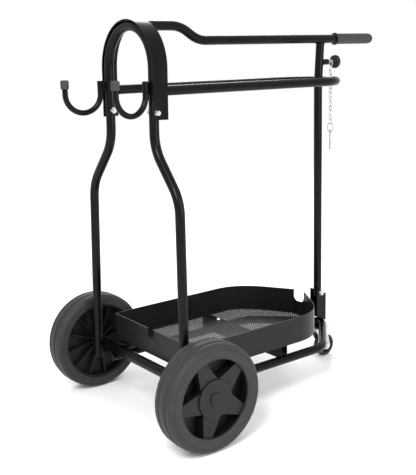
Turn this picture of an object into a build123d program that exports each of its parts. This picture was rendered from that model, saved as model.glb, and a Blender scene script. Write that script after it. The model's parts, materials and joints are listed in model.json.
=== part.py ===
from build123d import *
import os
from math import cos, radians, sin, sqrt, tan

os.makedirs("parts", exist_ok=True)

# Folding saddle trolley, in mm. +X runs from the hooks to the handle, +Y is the right-hand side
# of the person who pushes it, +Z is up. The origin is on the ground, under the middle of its box.

# ---- wheels and axle ----
wheel_d = 250.0
wheel_width = 64.0
wheel_inside = 216.0          # centre plane to the inner face of a wheel
tyre_bore_d = 196.0
tyre_lip_d = 178.0            # outer sidewall reaches in over the rim
tyre_lip = 6.0
tread_shoulder = 9.0          # how far the tread rounds off at its edges
rim_wall = 5.0
rim_inset = 4.0               # rim edge behind the tyre's inner face
web_thickness = 4.0
spoke_count = 5
spoke_root_w = 66.0           # where the spoke's sides meet the axle line
spoke_tip_w = 22.0
spoke_turn = 112.0            # degrees, first spoke from +X
rib_count = 12
rib_thickness = 3.5
hub_d = 34.0
hub_disc_d = 88.0
hub_disc_thickness = 4.0
hub_cap_d = 30.0
hub_cap_proud = 3.0
axle_d = 12.0
sleeve_wall = 2.0
running_gap = 0.05            # radial play of a shaft in its bush
face_gap = 0.3                # play between faces that turn on each other

# ---- tubes ----
tube_d = 22.0
tube_wall = 1.5
axle_tube_d = 26.0
axle_tube_wall = 2.0
plug_proud = 2.0
plug_depth = 12.0

# ---- arch: two legs, a neck and a hoop ----
arch_lean = 1.2               # degrees, the hoop leans towards the handle
foot_y = 192.5                # leg centre at the axle's height
foot_drop = 26.0              # leg below the axle's height
leg_splay = 1.4               # degrees
neck_low = 547.0              # height of the neck's lower corner
neck_high = 652.0
neck_bend_r = 90.0
hoop_r = 91.5                 # hoop centre line
hoop_centre_z = 824.0
lug_thickness = 5.0
lug_height = 44.0
lug_r = 16.0

# ---- bridle hooks ----
hook_bar_d = 13.0
hook_span = 84.0
hook_splay = 10.5             # degrees, away from straight forwards
hook_top_z = 797.0
hook_straight = 29.0
hook_forward = 23.5           # root in front of the leg centre
hook_outward = 4.0
hook_cap_d = 19.0
hook_cap_h = 20.0
hook_cap_top = 4.0
hook_plate_t = 5.0
hook_plate_h = 24.0

# ---- saddle strap and its bolts ----
strap_width = 39.0
strap_thickness = 3.0
strap_bottom_z = 714.0
strap_chamfer = 16.0
strap_bolt_z = 729.0
bolt_d = 8.0
bolt_head_d = 15.0
bolt_head_h = 5.0
nut_af = 13.0
nut_h = 6.5

# ---- rails, handle, stub ----
rail_z = 775.0
rail_bend_x = 511.0           # hairpin centre
rail_front_x = 14.5
crossbar_width = 20.0
crossbar_thickness = 5.0
handle_start_x = 17.0
handle_drop_x = 131.0         # corners of the handle's step
handle_level_x = 182.0
handle_z = 882.5
handle_bend_r = 80.0
grip_start_x = 636.0
grip_end_x = 778.0
grip_d = 28.0
grip_flange_d = 32.0
grip_flange = 3.0
grip_end_wall = 4.0
stub_foot_x = 577.0
stub_lean = 4.0               # degrees
boss_z = 823.0
boss_d = 15.0
boss_end_x = 612.0
screw_d = 8.0
knob_gap = 21.0
knob_d = 35.0
knob_thickness = 12.0

# ---- chain and locking pin ----
chain_x = 623.0
chain_wire = 2.4
hanger_bore = 13.0
link_inner_w = 5.6
link_inner_h = 11.9
link_count = 13
pin_ring_d = 25.0
pin_ring_wire = 2.6
pin_d = 6.0
pin_length = 56.0

# ---- base frame ----
base_tube_z = 102.0
base_half_w = 152.0
base_corner_x = 442.0
base_point_x = 596.0          # where the two slanting sides would meet
base_side_r = 60.0
base_point_r = 28.0
base_front_x = -8.0
base_tube_end_y = 180.0
bush_grip = 16.0
support_xs = {"front": 110.0, "rear": 302.0}
support_width = 20.0
support_wall = 2.0
support_depth = 34.0

# ---- tray ----
tray_front_x = 17.0
tray_half_w = 169.0
tray_side_end_x = 348.0
tray_shoulder_r = 120.0
tray_shoulder_turn = 48.0     # degrees
tray_nose_r = 250.0
tray_nose_turn = 12.0         # degrees
tray_nose_half_w = 22.0
tray_corner_r = 8.0
tray_floor_z = 144.0          # underside of the floor
tray_wall_h = 65.0
sheet = 2.0
front_notch_w = 26.0
notch_floor_z = 178.5
rear_notch_w = 40.0
hole_d = 10.0
hole_pitch = 20.0
floor_margin = 14.0
screw_y = 103.5
tray_screw_d = 6.0
tray_screw_head_d = 13.0
tray_screw_head_h = 4.0
tray_screw_length = 10.0

# ---- post and bracket ----
post_x = 576.0
pivot_z = 191.0
post_top_z = 759.0
post_foot = 9.0               # tube below the pivot
post_cone_h = 3.5
bracket_front_x = 562.0
bracket_rear_x = 595.0
bracket_t = 3.0
bracket_top_z = 204.0
bracket_top_fall = 16.0
bracket_bottom_z = 126.0
bracket_bottom_fall = 18.0
post_side_gap = 0.4

# ---- caster ----
caster_d = 62.0
caster_width = 20.0
caster_x = 579.0              # swivel axis
caster_trail = 22.0
caster_tread_t = 6.0
fork_t = 2.5
fork_gap = 2.0
fork_leg_w = 24.0
crown_d = 40.0
caster_plate_t = 4.0
caster_plate_l = 52.0
caster_plate_w = 44.0
race_h = 4.0
race_d = 30.0
kingpin_d = 10.0
caster_axle_d = 8.0

# ---- derived values ----
tube_r = tube_d / 2
axle_z = wheel_d / 2
axle_x = (wheel_d / 2 - grip_end_x) / 2      # centres the whole length on the origin
wheel_outside = wheel_inside + wheel_width
arch_x = axle_x - tube_r - axle_tube_d / 2 + 2.0
lean = radians(arch_lean)
arch_plane = Plane(origin=(arch_x, 0, axle_z), x_dir=(0, 1, 0), z_dir=(cos(lean), 0, -sin(lean)))
side_plane = Plane(origin=(arch_x, 0, axle_z), x_dir=(cos(lean), 0, -sin(lean)), z_dir=(0, -1, 0))
strap_in_r = hoop_r + tube_r + face_gap
strap_out_r = strap_in_r + strap_thickness
sides = {"left": -1, "right": 1}


def up_arch(z):
    # distance along the leaning arch from the axle's height to height z
    return (z - axle_z) / cos(lean)


def arch_x_at(z):
    return arch_x + (z - axle_z) * tan(lean)


def leg_y(z):
    return foot_y - (z - axle_z) * tan(radians(leg_splay))


def ring(outer_d, inner_d):
    # annulus in the current sketch
    Circle(outer_d / 2)
    Circle(inner_d / 2, mode=Mode.SUBTRACT)


def across(x, z, y=0.0):
    # plane at a height and station, looking along +Y
    return Plane(origin=(x, y, z), x_dir=(1, 0, 0), z_dir=(0, -1, 0))


def along(x, z, y=0.0):
    # plane square to X
    return Plane(origin=(x, y, z), x_dir=(0, 1, 0), z_dir=(1, 0, 0))


# ================= arch frame =================
with BuildLine(arch_plane) as arch_path:
    right_leg = FilletPolyline(
        (leg_y(axle_z - foot_drop), -foot_drop),
        (leg_y(neck_low), up_arch(neck_low)),
        (hoop_r, up_arch(neck_high)),
        (hoop_r, up_arch(hoop_centre_z)),
        radius=neck_bend_r,
    )
    hoop_arc = JernArc(right_leg @ 1, (0, 1), hoop_r, 180)
    left_leg = FilletPolyline(
        (-hoop_r, up_arch(hoop_centre_z)),
        (-hoop_r, up_arch(neck_high)),
        (-leg_y(neck_low), up_arch(neck_low)),
        (-leg_y(axle_z - foot_drop), -foot_drop),
        radius=neck_bend_r,
    )
arch_wire = arch_path.wires()[0]
foot_plane = Plane(origin=arch_wire @ 0, z_dir=arch_wire % 0)
bolt_hole_plane = side_plane * Location((0, up_arch(strap_bolt_z), 0))

# solid outline of the arch, for the pieces that are fitted against it
with BuildPart() as arch_core:
    add(arch_wire)
    with BuildSketch(foot_plane):
        Circle(tube_r)
    sweep(path=arch_wire)

with BuildPart() as arch_frame:
    with BuildSketch(foot_plane):
        ring(tube_d, tube_d - 2 * tube_wall)
    sweep(path=arch_wire)
    with BuildSketch(side_plane):
        with Locations((0, up_arch(strap_bolt_z))):
            Circle(bolt_d / 2)
    extrude(amount=wheel_outside, both=True, mode=Mode.SUBTRACT)
arch_frame.part.label = "arch_frame"
export_step(arch_frame.part, "parts/arch_frame.step")

with BuildPart() as leg_plugs:
    with BuildSketch(foot_plane):
        Circle(tube_r - tube_wall)
    extrude(amount=plug_depth)
    with BuildSketch(foot_plane):
        Circle(tube_r)
    extrude(amount=-plug_proud)
    mirror(about=Plane.XZ)
leg_plugs.part.label = "leg_plugs"
export_step(leg_plugs.part, "parts/leg_plugs.step")

# lugs that carry the axle behind the legs
with BuildPart() as axle_lugs:
    with BuildSketch(across(axle_x, axle_z, foot_y + lug_thickness / 2)):
        Circle(lug_r)
        with Locations(((arch_x - axle_x) / 2, 0)):
            Rectangle(axle_x - arch_x, lug_height)
        Circle(axle_d / 2, mode=Mode.SUBTRACT)
    extrude(amount=lug_thickness)
    mirror(about=Plane.XZ)
    add(arch_core.part, mode=Mode.SUBTRACT)
axle_lugs.part.label = "axle_lugs"
export_step(axle_lugs.part, "parts/axle_lugs.step")

hub_inner_y = wheel_inside - 2.0
rim_face_y = wheel_outside - tyre_lip - 3.5
axle_end_y = rim_face_y + 4.5
lug_outer_y = foot_y + lug_thickness / 2
lug_inner_y = foot_y - lug_thickness / 2

with BuildPart() as axle_rod:
    with BuildSketch(across(axle_x, axle_z, axle_end_y)):
        Circle(axle_d / 2)
    extrude(amount=2 * axle_end_y)
    chamfer(axle_rod.edges().filter_by(GeomType.CIRCLE), 1.0)
axle_rod.part.label = "axle_rod"
export_step(axle_rod.part, "parts/axle_rod.step")

spacer_end_y = hub_inner_y - face_gap
with BuildPart() as axle_spacers:
    with BuildSketch(across(axle_x, axle_z, spacer_end_y)):
        ring(axle_d + 8.0, axle_d)
    extrude(amount=spacer_end_y - lug_outer_y)
    mirror(about=Plane.XZ)
axle_spacers.part.label = "axle_spacers"
export_step(axle_spacers.part, "parts/axle_spacers.step")

# ================= wheels =================
web_y = wheel_inside + 24.0
for side, sign in sides.items():
    hub_axis = Axis((axle_x, 0, axle_z), (0, 1, 0))
    section = Plane(origin=(axle_x, 0, axle_z), x_dir=(0, sign, 0), z_dir=(sign, 0, 0))

    with BuildPart() as tyre:
        with BuildSketch(section):
            with BuildLine():
                half = wheel_d / 2
                inner = wheel_inside
                outer = wheel_outside
                groove = 3.0
                low_edge = inner + wheel_width * 0.36
                high_edge = inner + wheel_width * 0.66
                Spline(
                    (inner, half - tread_shoulder),
                    (inner + tread_shoulder * 0.5, half - tread_shoulder * 0.25),
                    (low_edge - groove, half - 0.6),
                    tangents=((0, 1), (1, 0.02)),
                )
                Polyline(
                    (low_edge - groove, half - 0.6),
                    (low_edge, half - groove),
                    (low_edge + groove, half),
                    (high_edge - groove, half),
                    (high_edge, half - groove),
                    (high_edge + groove, half - 1.2),
                )
                Spline(
                    (high_edge + groove, half - 1.2),
                    (outer - tread_shoulder * 0.5, half - tread_shoulder * 0.5),
                    (outer, half - tread_shoulder * 1.3),
                    tangents=((1, -0.08), (-0.05, -1)),
                )
                Polyline(
                    (outer, half - tread_shoulder * 1.3),
                    (outer - 1.5, tyre_lip_d / 2 + 4),
                    (outer - 3.5, tyre_lip_d / 2),
                    (outer - tyre_lip - 3.5, tyre_lip_d / 2),
                    (outer - tyre_lip - 3.5, tyre_bore_d / 2),
                    (inner, tyre_bore_d / 2),
                    (inner, half - tread_shoulder),
                )
            make_face()
        revolve(axis=hub_axis)
    tyre.part.label = f"tyre_{side}"
    export_step(tyre.part, f"parts/tyre_{side}.step")

    rim_in_y = wheel_inside + rim_inset
    rim_in_r = tyre_bore_d / 2 - rim_wall

    def face_at(y):
        # sketch plane square to the axle at distance y, facing outwards
        return Plane(origin=(axle_x, sign * y, axle_z), x_dir=(1, 0, 0), z_dir=(0, sign, 0))

    with BuildPart() as rim:
        with BuildSketch(face_at(rim_in_y)):
            ring(tyre_bore_d, 2 * rim_in_r)
        extrude(amount=rim_face_y - rim_in_y)
        with BuildSketch(face_at(web_y)):
            Circle(rim_in_r)
        extrude(amount=web_thickness)
        with BuildSketch(face_at(hub_inner_y)):
            Circle(hub_d / 2)
        extrude(amount=rim_face_y - hub_inner_y)
        with BuildSketch(face_at(web_y)):
            with PolarLocations(0, spoke_count, start_angle=spoke_turn):
                Polygon(
                    (0, -spoke_root_w / 2),
                    (rim_in_r + 1.0, -spoke_tip_w / 2),
                    (rim_in_r + 1.0, spoke_tip_w / 2),
                    (0, spoke_root_w / 2),
                    align=None,
                )
        extrude(amount=rim_face_y - web_y)
        with BuildSketch(face_at(web_y)):
            with PolarLocations(0, rib_count, start_angle=spoke_turn):
                with Locations((rim_in_r / 2, 0)):
                    Rectangle(rim_in_r + 2.0, rib_thickness)
        extrude(amount=-(web_y - rim_in_y - 6.0))
        with BuildSketch(face_at(rim_face_y)):
            Circle(hub_disc_d / 2)
        extrude(amount=hub_disc_thickness)
        fillet(rim.faces().sort_by(Axis.Y)[-1 if sign > 0 else 0].outer_wire().edges(), 1.5)
        with BuildSketch(face_at(hub_inner_y - 1)):
            Circle(axle_d / 2 + running_gap + sleeve_wall)
        extrude(amount=wheel_outside, mode=Mode.SUBTRACT)
        with BuildSketch(face_at(rim_face_y + 1.0)):
            Circle(hub_cap_d / 2 - 2.0)
        extrude(amount=wheel_outside, mode=Mode.SUBTRACT)
    rim.part.label = f"rim_{side}"
    export_step(rim.part, f"parts/rim_{side}.step")

    with BuildPart() as sleeve:
        with BuildSketch(face_at(hub_inner_y)):
            ring(axle_d + 2 * (running_gap + sleeve_wall), axle_d + 2 * running_gap)
        extrude(amount=rim_face_y + 1.0 - hub_inner_y)
    sleeve.part.label = f"wheel_sleeve_{side}"
    export_step(sleeve.part, f"parts/wheel_sleeve_{side}.step")

    disc_face_y = rim_face_y + hub_disc_thickness
    with BuildPart() as cap:
        with BuildSketch(face_at(disc_face_y)):
            Circle(hub_cap_d / 2)
        extrude(amount=hub_cap_proud)
        fillet(cap.faces().sort_by(Axis.Y)[-1 if sign > 0 else 0].outer_wire().edges(), 1.5)
        with BuildSketch(face_at(disc_face_y)):
            ring(hub_cap_d - 4.0, hub_cap_d - 7.0)
        extrude(amount=-(hub_disc_thickness - 2.0))
        with BuildSketch(face_at(disc_face_y)):
            Circle(hub_cap_d / 2 - 4.0)
        extrude(amount=hub_cap_proud - 1.2, mode=Mode.SUBTRACT)
    cap.part.label = f"hub_cap_{side}"
    export_step(cap.part, f"parts/hub_cap_{side}.step")

# push-on rings that keep the wheels on the axle, under the hub caps
clip_y = rim_face_y + 1.0 + face_gap
with BuildPart() as axle_clips:
    with BuildSketch(across(axle_x, axle_z, clip_y + 1.5)):
        ring(axle_d + 8.0, axle_d)
    extrude(amount=1.5)
    mirror(about=Plane.XZ)
axle_clips.part.label = "axle_clips"
export_step(axle_clips.part, "parts/axle_clips.step")

# ================= bridle hooks =================
for side, sign in sides.items():
    splay = radians(hook_splay)
    hook_plane = Plane(
        origin=(
            arch_x_at(hook_top_z) - hook_forward,
            sign * (hoop_r + hook_outward),
            hook_top_z,
        ),
        x_dir=(-cos(splay), sign * sin(splay), 0),
        z_dir=(sign * sin(splay), cos(splay), 0),
    )
    with BuildPart() as hook:
        with BuildLine(hook_plane) as hook_path:
            down = Line((0, 0), (0, -hook_straight if hook_plane.y_dir.Z > 0 else hook_straight))
            turn = JernArc(down @ 1, down % 1, hook_span / 2, 180 if hook_plane.y_dir.Z > 0 else -180)
            Line(turn @ 1, turn @ 1 - (down @ 1 - down @ 0))
        hook_wire = hook_path.wires()[0]
        with BuildSketch(Plane(origin=hook_wire @ 0, z_dir=hook_wire % 0)):
            Circle(hook_bar_d / 2)
        sweep(path=hook_wire)
        fillet(hook.faces().filter_by(GeomType.PLANE).edges(), 1.5)
    hook.part.label = f"hook_{side}"
    export_step(hook.part, f"parts/hook_{side}.step")

    hook_tip = hook_wire @ 1
    with BuildPart() as hook_cap:
        with BuildSketch(Plane.XY.offset(hook_tip.Z + hook_cap_top)):
            with Locations((hook_tip.X, hook_tip.Y)):
                Circle(hook_cap_d / 2)
        extrude(amount=-hook_cap_h)
        fillet(hook_cap.faces().sort_by(Axis.Z)[-1].edges(), 3.5)
        fillet(hook_cap.faces().sort_by(Axis.Z)[0].edges(), 1.0)
        add(hook.part, mode=Mode.SUBTRACT)
    hook_cap.part.label = f"hook_cap_{side}"
    export_step(hook_cap.part, f"parts/hook_cap_{side}.step")

    # short plate that carries the hook in front of the leg
    with BuildPart() as hook_plate:
        plate_y = sign * (hoop_r + hook_outward / 2)
        with BuildSketch(across(arch_x_at(hook_top_z), hook_top_z, plate_y + hook_plate_t / 2)):
            with Locations((-hook_forward / 2, -hook_plate_h / 2 - hook_bar_d / 4)):
                Rectangle(hook_forward, hook_plate_h)
        extrude(amount=hook_plate_t)
        add(arch_core.part, mode=Mode.SUBTRACT)
        add(hook.part, mode=Mode.SUBTRACT)
    hook_plate.part.label = f"hook_plate_{side}"
    export_step(hook_plate.part, f"parts/hook_plate_{side}.step")

# ================= saddle strap on its bolts =================
with BuildPart() as saddle_strap:
    with BuildSketch(arch_plane.offset(-tube_r)):
        with Locations((0, up_arch(hoop_centre_z))):
            ring(2 * strap_out_r, 2 * strap_in_r)
            with Locations((0, -strap_out_r)):
                Rectangle(2 * strap_out_r, 2 * strap_out_r, mode=Mode.SUBTRACT)
        strap_drop = hoop_centre_z - strap_bottom_z
        with Locations(*[(s * (strap_in_r + strap_thickness / 2), up_arch(hoop_centre_z)) for s in (-1, 1)]):
            Rectangle(strap_thickness, strap_drop, align=(Align.CENTER, Align.MAX))
    extrude(amount=strap_width)
    with BuildSketch(side_plane):
        with Locations((0, up_arch(strap_bolt_z))):
            Circle(bolt_d / 2 + running_gap)
        with Locations((strap_width - tube_r, up_arch(hoop_centre_z) - strap_drop)):
            with BuildLine():
                Polyline((0, 0), (0, strap_chamfer), (-strap_chamfer, 0), close=True)
            make_face()
    extrude(amount=wheel_outside, both=True, mode=Mode.SUBTRACT)
saddle_strap.part.label = "saddle_strap"
export_step(saddle_strap.part, "parts/saddle_strap.step")

bolt_x = arch_x_at(strap_bolt_z)
head_y = strap_out_r + face_gap
leg_inner_y = hoop_r - tube_r
with BuildPart() as strap_bolts:
    with BuildSketch(across(bolt_x, strap_bolt_z, head_y)):
        Circle(bolt_d / 2)
    extrude(amount=head_y - leg_inner_y + nut_h + 2.0)
    with BuildSketch(across(bolt_x, strap_bolt_z, head_y)):
        Circle(bolt_head_d / 2)
    extrude(amount=-bolt_head_h, taper=25)
    mirror(about=Plane.XZ)
strap_bolts.part.label = "strap_bolts"
export_step(strap_bolts.part, "parts/strap_bolts.step")

with BuildPart() as strap_nuts:
    with BuildSketch(across(bolt_x, strap_bolt_z, leg_inner_y)):
        RegularPolygon(nut_af / 2, 6, major_radius=False)
        Circle(bolt_d / 2, mode=Mode.SUBTRACT)
    extrude(amount=nut_h)
    mirror(about=Plane.XZ)
strap_nuts.part.label = "strap_nuts"
export_step(strap_nuts.part, "parts/strap_nuts.step")

# ================= rails, handle and stub =================
rail_y = strap_in_r - tube_r
rail_start_x = axle_x + rail_front_x
with BuildLine(Plane.XY.offset(rail_z)) as rail_path:
    first_rail = Line((rail_start_x, rail_y), (axle_x + rail_bend_x, rail_y))
    hairpin = JernArc(first_rail @ 1, first_rail % 1, rail_y, -180)
    Line(hairpin @ 1, (rail_start_x, -rail_y))
rail_wire = rail_path.wires()[0]
rail_end_plane = Plane(origin=rail_wire @ 0, z_dir=rail_wire % 0)

with BuildPart() as rail_core:
    with BuildSketch(rail_end_plane):
        Circle(tube_r)
    sweep(path=rail_wire)

with BuildPart() as saddle_rails:
    with BuildSketch(rail_end_plane):
        ring(tube_d, tube_d - 2 * tube_wall)
    sweep(path=rail_wire)
    add(saddle_strap.part, mode=Mode.SUBTRACT)
saddle_rails.part.label = "saddle_rails"
export_step(saddle_rails.part, "parts/saddle_rails.step")

stub_x = axle_x + stub_foot_x
crossbar_top = rail_z + crossbar_thickness
with BuildPart() as rail_crossbar:
    with BuildSketch(Plane.XY.offset(rail_z)):
        with Locations((stub_x, 0)):
            Rectangle(crossbar_width, 2 * rail_y)
    extrude(amount=crossbar_thickness)
    add(rail_core.part, mode=Mode.SUBTRACT)
    with BuildSketch(Plane.XY.offset(rail_z)):
        with Locations((axle_x + rail_bend_x, 0)):
            ring(8 * rail_y, 2 * rail_y)
    extrude(amount=crossbar_thickness, mode=Mode.SUBTRACT)
rail_crossbar.part.label = "rail_crossbar"
export_step(rail_crossbar.part, "parts/rail_crossbar.step")

handle_front_z = hoop_centre_z + strap_in_r - tube_r
with BuildLine(Plane.XZ) as handle_path:
    FilletPolyline(
        (axle_x + handle_start_x, handle_front_z),
        (axle_x + handle_drop_x, handle_front_z),
        (axle_x + handle_level_x, handle_z),
        (axle_x + grip_end_x - grip_end_wall, handle_z),
        radius=handle_bend_r,
    )
handle_wire = handle_path.wires()[0]
with BuildPart() as handle_bar:
    with BuildSketch(along(axle_x + handle_start_x, handle_front_z)):
        ring(tube_d, tube_d - 2 * tube_wall)
    sweep(path=handle_wire)
    add(saddle_strap.part, mode=Mode.SUBTRACT)
handle_bar.part.label = "handle_bar"
export_step(handle_bar.part, "parts/handle_bar.step")

with BuildPart() as handle_grip:
    with BuildSketch(along(axle_x + grip_start_x, handle_z)):
        Circle(grip_d / 2)
    extrude(amount=grip_end_x - grip_start_x)
    fillet(handle_grip.faces().sort_by(Axis.X)[-1].edges(), grip_d * 0.32)
    with BuildSketch(along(axle_x + grip_start_x, handle_z)):
        Circle(grip_flange_d / 2)
    extrude(amount=grip_flange)
    fillet(handle_grip.faces().sort_by(Axis.X)[0].outer_wire().edges(), grip_flange * 0.4)
    with BuildSketch(along(axle_x + grip_start_x, handle_z)):
        Circle(tube_r)
    extrude(amount=grip_end_x - grip_end_wall - grip_start_x, mode=Mode.SUBTRACT)
handle_grip.part.label = "handle_grip"
export_step(handle_grip.part, "parts/handle_grip.step")

# upright stub between the crossbar and the handle, with the clamp's threaded boss
stub_tilt = radians(stub_lean)
stub_plane = Plane(
    origin=(stub_x, 0, crossbar_top),
    x_dir=(0, 1, 0),
    z_dir=(sin(stub_tilt), 0, cos(stub_tilt)),
)
stub_reach = (handle_z - tube_r / 2 - crossbar_top) / cos(stub_tilt)
boss_start_x = stub_x + (boss_z - crossbar_top) * tan(stub_tilt)
boss_end = axle_x + boss_end_x
with BuildPart() as stub_core:
    with BuildSketch(stub_plane):
        Circle(tube_r)
    extrude(amount=stub_reach)

with BuildPart() as post_stub:
    with BuildSketch(stub_plane.offset(-tube_r)):
        ring(tube_d, tube_d - 2 * tube_wall)
    extrude(amount=stub_reach + tube_r)
    split(bisect_by=Plane.XY.offset(crossbar_top), keep=Keep.TOP)
    with BuildSketch(along(stub_x - tube_d, handle_z)):
        Circle(tube_r)
    extrude(amount=3 * tube_d, mode=Mode.SUBTRACT)
    with BuildSketch(along(boss_start_x, boss_z)):
        Circle(screw_d / 2 + running_gap)
    extrude(amount=tube_d, mode=Mode.SUBTRACT)
post_stub.part.label = "post_stub"
export_step(post_stub.part, "parts/post_stub.step")

with BuildPart() as clamp_boss:
    with BuildSketch(along(boss_start_x, boss_z)):
        Circle(boss_d / 2)
    extrude(amount=boss_end - boss_start_x)
    chamfer(clamp_boss.faces().sort_by(Axis.X)[-1].edges(), 1.5)
    add(stub_core.part, mode=Mode.SUBTRACT)
    with BuildSketch(along(boss_start_x, boss_z)):
        Circle(screw_d / 2 + running_gap)
    extrude(amount=boss_end - boss_start_x, mode=Mode.SUBTRACT)
clamp_boss.part.label = "clamp_boss"
export_step(clamp_boss.part, "parts/clamp_boss.step")

knob_start = boss_end + knob_gap
knob_socket = knob_thickness * 0.7
screw_start = boss_start_x + tube_r - tube_wall - 2.0
with BuildPart() as clamp_screw:
    with BuildSketch(along(screw_start, boss_z)):
        Circle(screw_d / 2)
    extrude(amount=knob_start + knob_socket - screw_start)
    chamfer(clamp_screw.edges().filter_by(GeomType.CIRCLE), 0.8)
clamp_screw.part.label = "clamp_screw"
export_step(clamp_screw.part, "parts/clamp_screw.step")

with BuildPart() as clamp_knob:
    with BuildSketch(along(knob_start, boss_z)):
        Circle(knob_d / 2)
    extrude(amount=knob_thickness)
    fillet(clamp_knob.edges().filter_by(GeomType.CIRCLE), knob_thickness * 0.35)
    with BuildSketch(along(knob_start, boss_z)):
        Circle(screw_d / 2 + running_gap)
    extrude(amount=knob_socket + face_gap, mode=Mode.SUBTRACT)
clamp_knob.part.label = "clamp_knob"
export_step(clamp_knob.part, "parts/clamp_knob.step")

# ================= chain and locking pin =================
chain_plane_x = axle_x + chain_x
wire_r = chain_wire / 2
pin_wire_r = pin_ring_wire / 2
hanger_in_r = screw_d / 2 + running_gap
hanger_drop = 6.0
with BuildPart() as chain_hanger:
    with BuildLine(along(chain_plane_x, boss_z)) as hanger_path:
        hanger_r = hanger_in_r + wire_r
        hanger_side = Line((hanger_r, 0), (hanger_r, -hanger_drop))
        hanger_low = JernArc(hanger_side @ 1, (0, -1), hanger_r, -180)
        hanger_back = Line(hanger_low @ 1, (-hanger_r, 0))
        JernArc(hanger_back @ 1, (0, 1), hanger_r, -180)
    hanger_wire = hanger_path.wires()[0]
    with BuildSketch(Plane(origin=hanger_wire @ 0, z_dir=hanger_wire % 0)):
        Circle(wire_r)
    sweep(path=hanger_wire)
chain_hanger.part.label = "chain_hanger"
export_step(chain_hanger.part, "parts/chain_hanger.step")

link_r = link_inner_w / 2 + wire_r
link_straight = link_inner_h - link_inner_w
first_link_z = boss_z - hanger_drop - hanger_r + 2 * wire_r
with BuildPart() as chain_links:
    for index in range(link_count):
        link_top = first_link_z - index * link_inner_h
        facing = (0, 1, 0) if index % 2 == 0 else (1, 0, 0)
        link_plane = Plane(
            origin=(chain_plane_x, 0, link_top - link_r),
            x_dir=(1, 0, 0) if index % 2 == 0 else (0, 1, 0),
            z_dir=facing,
        )
        along_link = 1 if link_plane.y_dir.Z > 0 else -1
        with BuildLine(link_plane) as link_path:
            link_side = Line((link_r, 0), (link_r, -along_link * link_straight))
            link_low = JernArc(link_side @ 1, link_side % 1, link_r, -180 * along_link)
            link_back = Line(link_low @ 1, (-link_r, 0))
            JernArc(link_back @ 1, link_back % 1, link_r, -180 * along_link)
        link_wire = link_path.wires()[0]
        with BuildSketch(Plane(origin=link_wire @ 0, z_dir=link_wire % 0)):
            Circle(wire_r)
        sweep(path=link_wire)
chain_links.part.label = "chain_links"
export_step(chain_links.part, "parts/chain_links.step")

last_link_low = first_link_z - (link_count - 1) * link_inner_h - link_inner_h - 2 * wire_r
ring_r = pin_ring_d / 2 - pin_wire_r
ring_z = last_link_low + wire_r + pin_wire_r - ring_r
with BuildPart() as pin_ring:
    with BuildSketch(across(chain_plane_x, ring_z)):
        with Locations((0, ring_r)):
            Circle(pin_wire_r)
    revolve(axis=Axis((chain_plane_x, 0, ring_z), (1, 0, 0)))
pin_ring.part.label = "pin_ring"
export_step(pin_ring.part, "parts/pin_ring.step")

pin_top = ring_z - ring_r + pin_d
with BuildPart() as locking_pin:
    with BuildSketch(Plane.XY.offset(pin_top)):
        with Locations((chain_plane_x, 0)):
            Circle(pin_d / 2)
    extrude(amount=-pin_length)
    chamfer(locking_pin.faces().sort_by(Axis.Z)[0].edges(), pin_d * 0.25)
    fillet(locking_pin.faces().sort_by(Axis.Z)[-1].edges(), pin_d * 0.3)
    with BuildSketch(across(chain_plane_x, ring_z - ring_r, pin_d)):
        Circle(pin_wire_r + 0.6)
    extrude(amount=2 * pin_d, mode=Mode.SUBTRACT)
locking_pin.part.label = "locking_pin"
export_step(locking_pin.part, "parts/locking_pin.step")

# ================= base frame =================
point_x = axle_x + base_point_x
corner_x = point_x - base_half_w
with BuildLine(Plane.XY.offset(base_tube_z)) as base_path:
    point_offset = base_point_r * cos(radians(45))
    right_side = FilletPolyline(
        (axle_x + base_front_x, base_half_w),
        (corner_x, base_half_w),
        (point_x - point_offset, point_offset),
        radius=base_side_r,
    )
    JernArc(right_side @ 1, right_side % 1, base_point_r, -90)
    FilletPolyline(
        (point_x - point_offset, -point_offset),
        (corner_x, -base_half_w),
        (axle_x + base_front_x, -base_half_w),
        radius=base_side_r,
    )
base_wire = base_path.wires()[0]
base_start = Plane(origin=base_wire @ 0, z_dir=base_wire % 0)

with BuildPart() as base_core:
    with BuildSketch(base_start):
        Circle(tube_r)
    sweep(path=base_wire)

with BuildPart() as base_axle_tube:
    with BuildSketch(across(axle_x, axle_z, base_tube_end_y)):
        ring(axle_tube_d, axle_tube_d - 2 * axle_tube_wall)
    extrude(amount=2 * base_tube_end_y)
base_axle_tube.part.label = "base_axle_tube"
export_step(base_axle_tube.part, "parts/base_axle_tube.step")

with BuildPart() as base_bushes:
    with BuildSketch(across(axle_x, axle_z, base_tube_end_y)):
        Circle(axle_tube_d / 2 - axle_tube_wall)
    extrude(amount=bush_grip)
    with BuildSketch(across(axle_x, axle_z, base_tube_end_y)):
        Circle(axle_tube_d / 2 - 2 * axle_tube_wall)
    extrude(amount=-(lug_inner_y - face_gap - base_tube_end_y))
    with BuildSketch(across(axle_x, axle_z, lug_inner_y)):
        Circle(axle_d / 2 + running_gap)
    extrude(amount=lug_inner_y, mode=Mode.SUBTRACT)
    mirror(about=Plane.XZ)
base_bushes.part.label = "base_bushes"
export_step(base_bushes.part, "parts/base_bushes.step")

with BuildPart() as base_frame_tube:
    with BuildSketch(base_start):
        ring(tube_d, tube_d - 2 * tube_wall)
    sweep(path=base_wire)
    with BuildSketch(across(axle_x, axle_z, base_tube_end_y)):
        Circle(axle_tube_d / 2)
    extrude(amount=2 * base_tube_end_y, mode=Mode.SUBTRACT)
base_frame_tube.part.label = "base_frame_tube"
export_step(base_frame_tube.part, "parts/base_frame_tube.step")

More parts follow.
